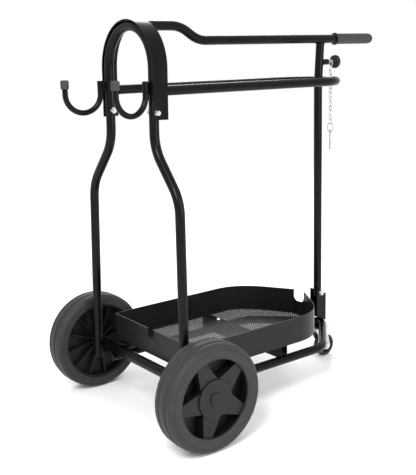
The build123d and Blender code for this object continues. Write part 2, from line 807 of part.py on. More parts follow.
with BuildPart() as base_plugs:
    with BuildSketch(base_start):
        Circle(tube_r)
    extrude(amount=-plug_proud)
    fillet(base_plugs.edges().sort_by(Axis.X)[0], plug_proud * 0.6)
    with BuildSketch(base_start):
        Circle(tube_r - tube_wall)
    extrude(amount=plug_depth)
    with BuildSketch(across(axle_x, axle_z, base_tube_end_y)):
        Circle(axle_tube_d / 2)
    extrude(amount=2 * base_tube_end_y, mode=Mode.SUBTRACT)
    mirror(about=Plane.XZ)
base_plugs.part.label = "base_plugs"
export_step(base_plugs.part, "parts/base_plugs.step")

for end, station in support_xs.items():
    with BuildPart() as support:
        support_x = axle_x + station
        span = 2 * (base_half_w + tube_r - 2.0)
        with BuildSketch(along(support_x - support_width / 2, tray_floor_z)):
            Rectangle(span, support_depth, align=(Align.CENTER, Align.MAX))
        extrude(amount=support_width)
        with BuildSketch(across(support_x, tray_floor_z - support_wall, wheel_inside)):
            Rectangle(
                support_width - 2 * support_wall, support_depth, align=(Align.CENTER, Align.MAX)
            )
        extrude(amount=2 * wheel_inside, mode=Mode.SUBTRACT)
        add(base_core.part, mode=Mode.SUBTRACT)
        with BuildSketch(Plane.XY.offset(tray_floor_z)):
            with Locations(*[(support_x, s * screw_y) for s in (-1, 1)]):
                Circle(tray_screw_d / 2)
        extrude(amount=-2 * support_wall, mode=Mode.SUBTRACT)
    support.part.label = f"base_support_{end}"
    export_step(support.part, f"parts/base_support_{end}.step")

# ================= tray =================
with BuildSketch(Plane.XY.offset(tray_floor_z)) as tray_outline:
    with BuildLine():
        front = axle_x + tray_front_x
        Line((front, 0), (front, tray_half_w))
        straight = Line((front, tray_half_w), (axle_x + tray_side_end_x, tray_half_w))
        shoulder = JernArc(straight @ 1, straight % 1, tray_shoulder_r, -tray_shoulder_turn)
        taper = JernArc(shoulder @ 1, shoulder % 1, tray_nose_r, -tray_nose_turn)
        slope = taper % 1
        nose_x = (taper @ 1).X + ((taper @ 1).Y - tray_nose_half_w) * slope.X / -slope.Y
        Line(taper @ 1, (nose_x, tray_nose_half_w))
        Line((nose_x, tray_nose_half_w), (nose_x, 0))
        mirror(about=Plane.XZ)
    make_face()
    sharp = tray_outline.vertices().filter_by(lambda v: abs(v.X - front) < 0.01 and abs(v.Y) > 1)
    fillet(sharp, tray_corner_r)
with BuildSketch(Plane.XY.offset(tray_floor_z)) as tray_inside:
    add(tray_outline.sketch)
    offset(amount=-sheet, mode=Mode.REPLACE)
with BuildSketch(Plane.XY.offset(tray_floor_z)) as hole_field:
    add(tray_outline.sketch)
    offset(amount=-floor_margin, mode=Mode.REPLACE)

notch_r = front_notch_w / 2
with BuildPart() as tray_wall:
    add(tray_outline.sketch)
    extrude(amount=tray_wall_h)
    add(tray_inside.sketch)
    extrude(amount=tray_wall_h, mode=Mode.SUBTRACT)
    with BuildSketch(along(front - 1, notch_floor_z)):
        with Locations((0, notch_r)):
            Circle(notch_r)
            Rectangle(front_notch_w, tray_wall_h, align=(Align.CENTER, Align.MIN))
    extrude(amount=sheet + 2, mode=Mode.SUBTRACT)
    with BuildSketch(along(nose_x - sheet - 1, notch_floor_z)):
        with Locations((0, tray_wall_h / 2)):
            RectangleRounded(rear_notch_w, tray_wall_h, notch_r)
        with Locations((0, tray_wall_h)):
            Rectangle(rear_notch_w, tray_wall_h)
    extrude(amount=sheet + 2, mode=Mode.SUBTRACT)
tray_wall.part.label = "tray_wall"
export_step(tray_wall.part, "parts/tray_wall.step")

screw_spots = [(axle_x + x, s * screw_y) for x in support_xs.values() for s in (-1, 1)]
field = hole_field.sketch.face()
clear_of_screws = hole_d / 2 + tray_screw_head_d / 2 + 1.0


def is_hole(spot):
    gaps = [sqrt((spot[0] - x) ** 2 + (spot[1] - y) ** 2) for x, y in screw_spots]
    return min(gaps) > clear_of_screws and field.is_inside(Vector(*spot, tray_floor_z))


columns = range(int((nose_x - front) / hole_pitch))
rows = range(-int(tray_half_w / hole_pitch), int(tray_half_w / hole_pitch) + 1)
spots = [(front + (i + 0.5) * hole_pitch, j * hole_pitch) for i in columns for j in rows]
with BuildPart() as tray_floor:
    add(tray_inside.sketch)
    extrude(amount=sheet)
    with BuildSketch(Plane.XY.offset(tray_floor_z)):
        with Locations(*[spot for spot in spots if is_hole(spot)]):
            Circle(hole_d / 2)
        with Locations(*screw_spots):
            Circle(tray_screw_d / 2)
    extrude(amount=sheet, mode=Mode.SUBTRACT)
tray_floor.part.label = "tray_floor"
export_step(tray_floor.part, "parts/tray_floor.step")

floor_top = tray_floor_z + sheet
with BuildPart() as tray_screws:
    with BuildSketch(Plane.XY.offset(floor_top)):
        with Locations(*screw_spots):
            Circle(tray_screw_head_d / 2)
    extrude(amount=tray_screw_head_h, taper=30)
    with BuildSketch(Plane.XY.offset(floor_top)):
        with Locations(*screw_spots):
            Circle(tray_screw_d / 2)
    extrude(amount=-(sheet + support_wall + tray_screw_length))
tray_screws.part.label = "tray_screws"
export_step(tray_screws.part, "parts/tray_screws.step")

with BuildPart() as tray_nuts:
    with BuildSketch(Plane.XY.offset(tray_floor_z - support_wall)):
        with Locations(*screw_spots):
            RegularPolygon(tray_screw_d * 0.85, 6, major_radius=False)
            Circle(tray_screw_d / 2, mode=Mode.SUBTRACT)
    extrude(amount=-tray_screw_d * 0.8)
tray_nuts.part.label = "tray_nuts"
export_step(tray_nuts.part, "parts/tray_nuts.step")

# ================= post and its bracket =================
flange_in = tube_r + post_side_gap
flange_out = flange_in + bracket_t
bracket_rear = axle_x + bracket_rear_x
bracket_front = axle_x + bracket_front_x
pivot_x = axle_x + post_x
with BuildPart() as post_bracket:
    with BuildSketch(across(0, 0, flange_out)):
        with BuildLine():
            Polyline(
                (bracket_front, bracket_bottom_z),
                (bracket_rear, bracket_bottom_z - bracket_bottom_fall),
                (bracket_rear, bracket_top_z - bracket_top_fall),
                (bracket_front, bracket_top_z),
                close=True,
            )
        make_face()
    extrude(amount=2 * flange_out)
    with BuildSketch(across(bracket_rear - bracket_t, pivot_z, flange_in)):
        Rectangle(wheel_d, wheel_d, align=(Align.MAX, Align.CENTER))
    extrude(amount=2 * flange_in, mode=Mode.SUBTRACT)
    with BuildSketch(across(pivot_x, pivot_z, wheel_d)):
        Circle(bolt_d / 2)
    extrude(amount=2 * wheel_d, mode=Mode.SUBTRACT)
    add(base_core.part, mode=Mode.SUBTRACT)
post_bracket.part.label = "post_bracket"
export_step(post_bracket.part, "parts/post_bracket.step")

with BuildPart() as pivot_bolt:
    with BuildSketch(across(pivot_x, pivot_z, -flange_out)):
        Circle(bolt_head_d / 2)
    extrude(amount=bolt_head_h, taper=25)
    with BuildSketch(across(pivot_x, pivot_z, flange_out + nut_h + 2.0)):
        Circle(bolt_d / 2)
    extrude(amount=2 * flange_out + nut_h + 2.0)
pivot_bolt.part.label = "pivot_bolt"
export_step(pivot_bolt.part, "parts/pivot_bolt.step")

with BuildPart() as pivot_nut:
    with BuildSketch(across(pivot_x, pivot_z, flange_out + nut_h)):
        RegularPolygon(nut_af / 2, 6, major_radius=False)
        Circle(bolt_d / 2, mode=Mode.SUBTRACT)
    extrude(amount=nut_h)
pivot_nut.part.label = "pivot_nut"
export_step(pivot_nut.part, "parts/pivot_nut.step")

with BuildPart() as rear_post:
    with BuildSketch(Plane.XY.offset(pivot_z - post_foot)):
        with Locations((pivot_x, 0)):
            ring(tube_d, tube_d - 2 * tube_wall)
    extrude(amount=post_top_z - pivot_z + post_foot)
    with BuildSketch(across(pivot_x, pivot_z, tube_d)):
        Circle(bolt_d / 2 + running_gap)
    extrude(amount=2 * tube_d, mode=Mode.SUBTRACT)
rear_post.part.label = "rear_post"
export_step(rear_post.part, "parts/rear_post.step")

with BuildPart() as post_plug:
    with BuildSketch(Plane.XY.offset(post_top_z)):
        with Locations((pivot_x, 0)):
            Circle(tube_r)
    extrude(amount=post_cone_h)
    fillet(post_plug.faces().sort_by(Axis.Z)[-1].edges(), post_cone_h * 0.8)
    with BuildSketch(Plane.XY.offset(post_top_z)):
        with Locations((pivot_x, 0)):
            Circle(tube_r - tube_wall)
    extrude(amount=-plug_depth)
post_plug.part.label = "post_plug"
export_step(post_plug.part, "parts/post_plug.step")

# ================= caster =================
swivel_x = axle_x + caster_x
roll_x = swivel_x + caster_trail
roll_z = caster_d / 2
plate_top = base_tube_z - tube_r
race_top = plate_top - caster_plate_t
crown_top = race_top - race_h - face_gap
with BuildPart() as caster_plate:
    with BuildSketch(Plane.XY.offset(plate_top)):
        with Locations((swivel_x, 0)):
            RectangleRounded(caster_plate_l, caster_plate_w, 5.0)
            Circle(kingpin_d / 2, mode=Mode.SUBTRACT)
    extrude(amount=-caster_plate_t)
    with BuildSketch(Plane.XY.offset(race_top)):
        with Locations((swivel_x, 0)):
            ring(race_d, kingpin_d)
    extrude(amount=-race_h)
caster_plate.part.label = "caster_plate"
export_step(caster_plate.part, "parts/caster_plate.step")

crown_low = crown_top - fork_t
with BuildPart() as caster_kingpin:
    with BuildSketch(Plane.XY.offset(plate_top)):
        with Locations((swivel_x, 0)):
            Circle(kingpin_d / 2)
    extrude(amount=-(plate_top - crown_low + face_gap))
    with BuildSketch(Plane.XY.offset(crown_low - face_gap)):
        with Locations((swivel_x, 0)):
            Circle(kingpin_d * 0.8)
    extrude(amount=-fork_t)
caster_kingpin.part.label = "caster_kingpin"
export_step(caster_kingpin.part, "parts/caster_kingpin.step")

fork_in = caster_width / 2 + fork_gap
with BuildPart() as caster_fork:
    with BuildSketch(across(swivel_x, 0, fork_in + fork_t)):
        with BuildLine():
            Polyline(
                (-crown_d / 2, crown_top),
                (crown_d / 2, crown_top),
                (caster_trail + fork_leg_w / 2, roll_z),
                (caster_trail - fork_leg_w / 2, roll_z),
                close=True,
            )
        make_face()
        with Locations((caster_trail, roll_z)):
            Circle(fork_leg_w / 2)
    extrude(amount=2 * (fork_in + fork_t))
    with BuildSketch(Plane.XY.offset(crown_low)):
        Rectangle(4 * wheel_d, 2 * fork_in)
    extrude(amount=-wheel_d, mode=Mode.SUBTRACT)
    with BuildSketch(across(roll_x, roll_z, wheel_d)):
        Circle(caster_axle_d / 2)
    extrude(amount=2 * wheel_d, mode=Mode.SUBTRACT)
    with BuildSketch(Plane.XY.offset(crown_top)):
        with Locations((swivel_x, 0)):
            Circle(kingpin_d / 2 + running_gap)
    extrude(amount=-2 * fork_t, mode=Mode.SUBTRACT)
caster_fork.part.label = "caster_fork"
export_step(caster_fork.part, "parts/caster_fork.step")

fork_out = fork_in + fork_t
with BuildPart() as caster_axle_bolt:
    with BuildSketch(across(roll_x, roll_z, -fork_out)):
        Circle(bolt_head_d / 2)
    extrude(amount=bolt_head_h * 0.8, taper=20)
    with BuildSketch(across(roll_x, roll_z, fork_out + nut_h + 1.5)):
        Circle(caster_axle_d / 2)
    extrude(amount=2 * fork_out + nut_h + 1.5)
caster_axle_bolt.part.label = "caster_axle_bolt"
export_step(caster_axle_bolt.part, "parts/caster_axle_bolt.step")

with BuildPart() as caster_axle_nut:
    with BuildSketch(across(roll_x, roll_z, fork_out + nut_h)):
        RegularPolygon(nut_af / 2, 6, major_radius=False)
        Circle(caster_axle_d / 2, mode=Mode.SUBTRACT)
    extrude(amount=nut_h)
caster_axle_nut.part.label = "caster_axle_nut"
export_step(caster_axle_nut.part, "parts/caster_axle_nut.step")

with BuildPart() as caster_tread:
    with BuildSketch(across(roll_x, roll_z, caster_width / 2)):
        ring(caster_d, caster_d - 2 * caster_tread_t)
    extrude(amount=caster_width)
    fillet(caster_tread.edges().filter_by(GeomType.CIRCLE).sort_by(SortBy.RADIUS)[-2:], 3.0)
caster_tread.part.label = "caster_tread"
export_step(caster_tread.part, "parts/caster_tread.step")

with BuildPart() as caster_hub:
    with BuildSketch(across(roll_x, roll_z, caster_width / 2)):
        ring(caster_d - 2 * caster_tread_t, caster_d - 2 * caster_tread_t - 8.0)
    extrude(amount=caster_width)
    with BuildSketch(across(roll_x, roll_z, caster_width / 4)):
        Circle(caster_d / 2 - caster_tread_t - 2.0)
    extrude(amount=caster_width / 2)
    with BuildSketch(across(roll_x, roll_z, fork_in - face_gap)):
        Circle(caster_axle_d)
    extrude(amount=2 * (fork_in - face_gap))
    with BuildSketch(across(roll_x, roll_z, wheel_d)):
        Circle(caster_axle_d / 2 + running_gap)
    extrude(amount=2 * wheel_d, mode=Mode.SUBTRACT)
caster_hub.part.label = "caster_hub"
export_step(caster_hub.part, "parts/caster_hub.step")
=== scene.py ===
import json
from math import atan2, cos, pi, radians, sin

import bmesh
import bpy
from mathutils import Matrix, Vector, noise


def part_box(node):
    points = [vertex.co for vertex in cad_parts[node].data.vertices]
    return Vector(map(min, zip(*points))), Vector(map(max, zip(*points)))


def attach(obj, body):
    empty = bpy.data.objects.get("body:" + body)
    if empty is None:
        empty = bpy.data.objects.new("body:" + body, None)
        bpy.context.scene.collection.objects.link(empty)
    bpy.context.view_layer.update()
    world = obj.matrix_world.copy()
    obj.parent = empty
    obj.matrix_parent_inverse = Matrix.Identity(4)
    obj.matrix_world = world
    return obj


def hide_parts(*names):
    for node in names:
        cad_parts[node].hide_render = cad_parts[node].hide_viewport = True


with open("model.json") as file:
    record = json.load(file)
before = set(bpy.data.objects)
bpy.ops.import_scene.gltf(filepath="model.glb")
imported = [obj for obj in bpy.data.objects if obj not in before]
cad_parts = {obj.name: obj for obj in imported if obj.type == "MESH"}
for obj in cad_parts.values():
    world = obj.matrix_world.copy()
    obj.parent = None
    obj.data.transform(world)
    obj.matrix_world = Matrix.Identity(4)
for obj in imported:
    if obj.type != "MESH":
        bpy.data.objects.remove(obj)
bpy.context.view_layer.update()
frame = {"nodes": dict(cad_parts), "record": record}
nodes = frame["nodes"]
print("frame loaded,", len(nodes), "nodes")

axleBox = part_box("axle_rod")  # low and high corner of the axle
axleX = (axleBox[0][0] + axleBox[1][0]) / 2


# ---------- materials ----------
def srgb(hexCode):
    values = [int(hexCode[i : i + 2], 16) / 255 for i in (1, 3, 5)]
    return [v / 12.92 if v <= 0.04045 else ((v + 0.055) / 1.055) ** 2.4 for v in values] + [1.0]


def addNode(material, kind, settings=None, links=None):
    node = material.node_tree.nodes.new(kind)
    for name, value in (settings or {}).items():
        if name in node.inputs:
            node.inputs[name].default_value = value
        else:
            setattr(node, name, value)
    for name, source in (links or {}).items():
        material.node_tree.links.new(source, node.inputs[name])
    return node


def newMaterial(name):
    material = bpy.data.materials.new(name)
    material.use_nodes = True
    return material, material.node_tree.nodes["Principled BSDF"]


def shadeRamp(material, source, low, high, lowAt, highAt):
    ramp = addNode(material, "ShaderNodeValToRGB", links={"Fac": source})
    ramp.color_ramp.elements[0].position = lowAt
    ramp.color_ramp.elements[0].color = low
    ramp.color_ramp.elements[1].position = highAt
    ramp.color_ramp.elements[1].color = high
    return ramp


def glossPowderCoat():
    # polyester powder on mild steel: deep gloss black with a faint orange peel and dust in the lees
    material, shader = newMaterial("glossPowderCoat")
    place = addNode(material, "ShaderNodeTexCoord")
    peel = addNode(
        material,
        "ShaderNodeTexNoise",
        {"Scale": 420.0, "Detail": 2.0, "Roughness": 0.45},  # 2.4 mm ripples
        {"Vector": place.outputs["Object"]},
    )
    film = addNode(
        material,
        "ShaderNodeTexNoise",
        {"Scale": 14.0, "Detail": 4.0, "Roughness": 0.6},  # handling marks, 70 mm across
        {"Vector": place.outputs["Object"]},
    )
    tone = shadeRamp(material, film.outputs["Fac"], srgb("#050506"), srgb("#0b0c0d"), 0.35, 0.7)
    gloss = addNode(
        material,
        "ShaderNodeMapRange",
        {"From Min": 0.3, "From Max": 0.75, "To Min": 0.2, "To Max": 0.32},
        {"Value": film.outputs["Fac"]},
    )
    bump = addNode(
        material,
        "ShaderNodeBump",
        {"Strength": 0.09, "Distance": 0.0004},
        {"Height": peel.outputs["Fac"]},
    )
    material.node_tree.links.new(tone.outputs["Color"], shader.inputs["Base Color"])
    material.node_tree.links.new(gloss.outputs["Result"], shader.inputs["Roughness"])
    material.node_tree.links.new(bump.outputs["Normal"], shader.inputs["Normal"])
    shader.inputs["IOR"].default_value = 1.5
    shader.inputs["Specular IOR Level"].default_value = 0.1
    shader.inputs["Coat Weight"].default_value = 0.07
    shader.inputs["Coat Roughness"].default_value = 0.1
    return material


def sheenPaintedTrayCoat():
    # the tray's pressed sheet has the same gloss black coat as the tubes; its base colour is
    # painted lighter as painted sheen, the light its broad faces catch as dark grey, and its
    # roughness is duller
    material, shader = newMaterial("sheenPaintedTrayCoat")
    place = addNode(material, "ShaderNodeTexCoord")
    grain = addNode(
        material,
        "ShaderNodeTexNoise",
        {"Scale": 900.0, "Detail": 3.0, "Roughness": 0.5},  # 1 mm grain
        {"Vector": place.outputs["Object"]},
    )
    cloud = addNode(
        material,
        "ShaderNodeTexNoise",
        {"Scale": 9.0, "Detail": 4.0, "Roughness": 0.55},
        {"Vector": place.outputs["Object"]},
    )
    # painted sheen: a lighter grey than the gloss coat's black, mottled at random by the cloud
    # noise
    tone = shadeRamp(material, cloud.outputs["Fac"], srgb("#0c0d0e"), srgb("#16181a"), 0.3, 0.75)
    bump = addNode(
        material,
        "ShaderNodeBump",
        {"Strength": 0.12, "Distance": 0.0003},
        {"Height": grain.outputs["Fac"]},
    )
    material.node_tree.links.new(tone.outputs["Color"], shader.inputs["Base Color"])
    material.node_tree.links.new(bump.outputs["Normal"], shader.inputs["Normal"])
    shader.inputs["Roughness"].default_value = 0.4
    shader.inputs["IOR"].default_value = 1.5
    shader.inputs["Specular IOR Level"].default_value = 0.2
    return material


def solidTyreRubber():
    # carbon-filled rubber from a mould: soft grey bloom, fine pitted skin
    material, shader = newMaterial("solidTyreRubber")
    place = addNode(material, "ShaderNodeTexCoord")
    bloom = addNode(
        material,
        "ShaderNodeTexNoise",
        {"Scale": 22.0, "Detail": 5.0, "Roughness": 0.62},
        {"Vector": place.outputs["Object"]},
    )
    pits = addNode(
        material,
        "ShaderNodeTexNoise",
        {"Scale": 650.0, "Detail": 3.0, "Roughness": 0.6},  # 1.5 mm pits
        {"Vector": place.outputs["Object"]},
    )
    tone = shadeRamp(material, bloom.outputs["Fac"], srgb("#1e2021"), srgb("#2a2c2d"), 0.32, 0.72)
    dull = addNode(
        material,
        "ShaderNodeMapRange",
        {"From Min": 0.3, "From Max": 0.7, "To Min": 0.52, "To Max": 0.68},
        {"Value": bloom.outputs["Fac"]},
    )
    bump = addNode(
        material,
        "ShaderNodeBump",
        {"Strength": 0.2, "Distance": 0.0004},
        {"Height": pits.outputs["Fac"]},
    )
    material.node_tree.links.new(tone.outputs["Color"], shader.inputs["Base Color"])
    material.node_tree.links.new(dull.outputs["Result"], shader.inputs["Roughness"])
    material.node_tree.links.new(bump.outputs["Normal"], shader.inputs["Normal"])
    shader.inputs["IOR"].default_value = 1.52
    shader.inputs["Specular IOR Level"].default_value = 0.35
    return material


def mouldedBlackPlastic():
    # glass-filled polypropylene, spark-eroded mould: even dark satin with a sandy grain
    material, shader = newMaterial("mouldedBlackPlastic")
    place = addNode(material, "ShaderNodeTexCoord")
    sand = addNode(
        material,
        "ShaderNodeTexNoise",
        {"Scale": 1100.0, "Detail": 2.0, "Roughness": 0.5},  # 0.9 mm grain
        {"Vector": place.outputs["Object"]},
    )
    flow = addNode(
        material,
        "ShaderNodeTexNoise",
        {"Scale": 30.0, "Detail": 3.0, "Roughness": 0.5},
        {"Vector": place.outputs["Object"]},
    )
    tone = shadeRamp(material, flow.outputs["Fac"], srgb("#0b0c0d"), srgb("#131415"), 0.3, 0.72)
    bump = addNode(
        material,
        "ShaderNodeBump",
        {"Strength": 0.14, "Distance": 0.0003},
        {"Height": sand.outputs["Fac"]},
    )
    material.node_tree.links.new(tone.outputs["Color"], shader.inputs["Base Color"])
    material.node_tree.links.new(bump.outputs["Normal"], shader.inputs["Normal"])
    shader.inputs["Roughness"].default_value = 0.45
    shader.inputs["IOR"].default_value = 1.49
    shader.inputs["Specular IOR Level"].default_value = 0.3
    return material


def softGripRubber():
    # dipped PVC grip and caps: matte dark grey, slightly waxy
    material, shader = newMaterial("softGripRubber")
    place = addNode(material, "ShaderNodeTexCoord")
    skin = addNode(
        material,
        "ShaderNodeTexNoise",
        {"Scale": 800.0, "Detail": 3.0, "Roughness": 0.6},
        {"Vector": place.outputs["Object"]},
    )
    worn = addNode(
        material,
        "ShaderNodeTexNoise",
        {"Scale": 40.0, "Detail": 4.0, "Roughness": 0.6},
        {"Vector": place.outputs["Object"]},
    )
    tone = shadeRamp(material, worn.outputs["Fac"], srgb("#1a1c1d"), srgb("#26282a"), 0.3, 0.7)
    bump = addNode(
        material,
        "ShaderNodeBump",
        {"Strength": 0.2, "Distance": 0.0003},
        {"Height": skin.outputs["Fac"]},
    )
    material.node_tree.links.new(tone.outputs["Color"], shader.inputs["Base Color"])
    material.node_tree.links.new(bump.outputs["Normal"], shader.inputs["Normal"])
    shader.inputs["Roughness"].default_value = 0.6
    shader.inputs["IOR"].default_value = 1.53
    return material


def brightZincPlate():
    # passivated zinc on steel: bright with soft cloudy spangle
    material, shader = newMaterial("brightZincPlate")
    place = addNode(material, "ShaderNodeTexCoord")
    spangle = addNode(
        material,
        "ShaderNodeTexVoronoi",
        {"Scale": 260.0},  # 4 mm crystals
        {"Vector": place.outputs["Object"]},
    )
    haze = addNode(
        material,
        "ShaderNodeTexNoise",
        {"Scale": 70.0, "Detail": 4.0, "Roughness": 0.6},
        {"Vector": place.outputs["Object"]},
    )
    tone = shadeRamp(material, haze.outputs["Fac"], srgb("#a9adb1"), srgb("#d2d4d6"), 0.3, 0.7)
    gloss = addNode(
        material,
        "ShaderNodeMapRange",
        {"From Min": 0.0, "From Max": 1.0, "To Min": 0.2, "To Max": 0.36},
        {"Value": spangle.outputs["Distance"]},
    )
    material.node_tree.links.new(tone.outputs["Color"], shader.inputs["Base Color"])
    material.node_tree.links.new(gloss.outputs["Result"], shader.inputs["Roughness"])
    shader.inputs["Metallic"].default_value = 1.0
    return material


finishes = {
    "gloss": glossPowderCoat(),
    "trayWithPaintedSheen": sheenPaintedTrayCoat(),
    "tyre": solidTyreRubber(),
    "plastic": mouldedBlackPlastic(),
    "grip": softGripRubber(),
    "zinc": brightZincPlate(),
}
slotFinish = {
    "gloss_black_powder_coat": "gloss",
    "tyre_rubber": "tyre",
    "black_plastic": "plastic",
    "bright_zinc": "zinc",
    "grip_rubber": "grip",
}
finishSlot = {finish: slot for slot, finish in slotFinish.items()}
# the tray's copy of the gloss black coat, with painted sheen in its base colour
finishSlot["trayWithPaintedSheen"] = "gloss_black_powder_coat"
trayNodes = ("tray_wall", "tray_floor")

for part in frame["record"]["subparts"]:
    # the tray's nodes take the coat with painted sheen in its base colour
    finish = "trayWithPaintedSheen" if part["node"] in trayNodes else slotFinish[part["material_slot"]]
    carried = nodes[part["node"]]
    carried.data.materials.clear()
    carried.data.materials.append(finishes[finish])
print("finishes on the frame's nodes")


# ---------- helpers for new pieces ----------
def makePiece(name, bm, finish, body, smoothAngle=35):
    mesh = bpy.data.meshes.new(name)
    bm.to_mesh(mesh)
    bm.free()
    mesh.materials.append(finishes[finish])
    piece = bpy.data.objects.new(name, mesh)
    bpy.context.scene.collection.objects.link(piece)
    mesh.shade_smooth()
    mesh.set_sharp_from_angle(angle=radians(smoothAngle))
    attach(piece, body)
    return piece


def spinProfile(bm, points, center, axis, steps):
    # lathes a closed profile once round
    ring = [bm.verts.new(p) for p in points]
    edges = [bm.edges.new((ring[i], ring[(i + 1) % len(ring)])) for i in range(len(ring))]
    bmesh.ops.spin(
        bm, geom=ring + edges, cent=center, axis=axis, angle=2 * pi, steps=steps, use_merge=True
    )
    bmesh.ops.remove_doubles(bm, verts=bm.verts[:], dist=1e-6)
    bmesh.ops.recalc_face_normals(bm, faces=bm.faces[:])


# ---------- perforated floor ----------
trayFloor = {
    "front": axleX + 0.019,
    "halfWidth": 0.167,
    "sideEnd": axleX + 0.348,
    "shoulderR": 0.118,
    "shoulderTurn": 48,
    "noseR": 0.248,
    "noseTurn": 12,
    "noseHalf": 0.0215,
    "underside": 0.144,
    "sheet": 0.0018,
    "pitch": 0.0075,
    "web": 0.0014,  # metal left on each side of a hole
    "border": 0.012,
    "meshDrop": 0.0003,  # the mesh lies this far under the border's top
    "meshSheet": 0.0012,
    "noseEnd": axleX + 0.5,
}


def trayOutline(bm, spec, height):
    # one side is drawn and turned by spins, then mirrored
    start = bm.verts.new((spec["front"], 0, height))
    corner = bm.verts.new((spec["front"], spec["halfWidth"], height))
    bm.edges.new((start, corner))
    sideEnd = bm.verts.new((spec["sideEnd"], spec["halfWidth"], height))
    bm.edges.new((corner, sideEnd))
    centre = Vector((spec["sideEnd"], spec["halfWidth"] - spec["shoulderR"], height))
    turned = bmesh.ops.spin(
        bm,
        geom=[sideEnd],
        cent=centre,
        axis=(0, 0, -1),
        angle=radians(spec["shoulderTurn"]),
        steps=16,
    )
    last = [g for g in turned["geom_last"] if isinstance(g, bmesh.types.BMVert)][0]
    outward = (last.co - centre).normalized()
    centre = last.co - outward * spec["noseR"]
    turned = bmesh.ops.spin(
        bm,
        geom=[last],
        cent=centre,
        axis=(0, 0, -1),
        angle=radians(spec["noseTurn"]),
        steps=6,
    )
    last = [g for g in turned["geom_last"] if isinstance(g, bmesh.types.BMVert)][0]
    turn = radians(spec["shoulderTurn"] + spec["noseTurn"])
    run = (last.co.y - spec["noseHalf"]) / sin(turn)
    tip = bm.verts.new((last.co.x + run * cos(turn), spec["noseHalf"], height))
    bm.edges.new((last, tip))
    end = bm.verts.new((tip.co.x, 0, height))
    bm.edges.new((tip, end))
    bmesh.ops.mirror(bm, geom=bm.verts[:] + bm.edges[:], axis="Y", merge_dist=1e-6)
    bmesh.ops.remove_doubles(bm, verts=bm.verts[:], dist=1e-5)
    bmesh.ops.contextual_create(bm, geom=bm.edges[:])
    return tip.co.x


def insideTray(spec, x, y, margin):
    y = abs(y)
    if x < spec["front"] + margin or y > spec["halfWidth"] - margin:
        return False
    if x <= spec["sideEnd"]:
        return True
    centre = Vector((spec["sideEnd"], spec["halfWidth"] - spec["shoulderR"]))
    away = Vector((x, y)) - centre
    turn = atan2(away.x, away.y)
    if turn < radians(spec["shoulderTurn"]):
        return away.length < spec["shoulderR"] - margin
    slope = radians(spec["shoulderTurn"] + spec["noseTurn"] / 2)
    out = Vector((sin(slope), cos(slope)))
    limit = spec["shoulderR"] * cos(radians(spec["noseTurn"] / 2)) - margin
    return away.dot(out) < limit and x < spec["noseEnd"]


def perforatedFloor(spec):
    bm = bmesh.new()
    top = spec["underside"] + spec["sheet"]
    noseX = trayOutline(bm, spec, top)
    middle = bm.faces[:]
    bmesh.ops.recalc_face_normals(bm, faces=middle)
    if middle[0].normal.z < 0:
        bmesh.ops.reverse_faces(bm, faces=middle)
    bmesh.ops.inset_region(
        bm, faces=middle, thickness=spec["border"], use_boundary=True, use_even_offset=True
    )
    bmesh.ops.delete(bm, geom=middle, context="FACES")
    columns = int((noseX - spec["front"]) / spec["pitch"]) + 1
    rows = 2 * int(spec["halfWidth"] / spec["pitch"]) + 2
    sheet = bmesh.new()
    centreX = spec["front"] + columns * spec["pitch"] / 2
    bmesh.ops.create_grid(
        sheet,
        x_segments=columns,
        y_segments=rows,
        size=0.5,
        matrix=Matrix.Translation((centreX, 0, top - spec["meshDrop"]))
        @ Matrix.Diagonal((columns * spec["pitch"], rows * spec["pitch"], 1, 1)),
    )
    margin = spec["border"] * 0.5
    spill = [
        f
        for f in sheet.faces
        if not insideTray(spec, f.calc_center_median().x, f.calc_center_median().y, margin)
    ]
    bmesh.ops.delete(sheet, geom=spill, context="FACES")
    bmesh.ops.inset_individual(
        sheet, faces=sheet.faces[:], thickness=spec["web"], use_even_offset=True
    )
    holeArea = (spec["pitch"] - 2 * spec["web"]) ** 2
    holes = [f for f in sheet.faces if abs(f.calc_area() - holeArea) < holeArea * 0.063]
    bmesh.ops.delete(sheet, geom=holes, context="FACES")
    thick = bmesh.ops.extrude_face_region(sheet, geom=sheet.faces[:])
    lowered = [g for g in thick["geom"] if isinstance(g, bmesh.types.BMVert)]
    bmesh.ops.translate(sheet, verts=lowered, vec=(0, 0, -spec["meshSheet"]))
    bmesh.ops.recalc_face_normals(sheet, faces=sheet.faces[:])
    thick = bmesh.ops.extrude_face_region(bm, geom=bm.faces[:])
    lowered = [g for g in thick["geom"] if isinstance(g, bmesh.types.BMVert)]
    bmesh.ops.translate(bm, verts=lowered, vec=(0, 0, -spec["sheet"]))
    bmesh.ops.recalc_face_normals(bm, faces=bm.faces[:])
    # border and mesh take the tray's coat with painted sheen in its base colour
    makePiece("floorBorder", bm, "trayWithPaintedSheen", "base")
    mesh = makePiece("perforatedFloor", sheet, "trayWithPaintedSheen", "base")
    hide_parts("tray_floor")


perforatedFloor(trayFloor)
print("perforated floor done")

# ---------- hand grip ----------
handGrip = {
    "start": axleX + 0.636,
    "end": axleX + 0.778,
    "height": 0.8825,
    "radius": 0.0129,
    "rib": 0.0011,
    "turns": 9,
    "pitch": 0.0165,
    "bore": 0.011,
    "step": 0.0011,  # between the rings of the body
    "bodyStart": 0.0075,
    "dome": 0.0098,  # radius of the rounded end
    "domeSteps": 8,
    "endWall": 0.004,
}


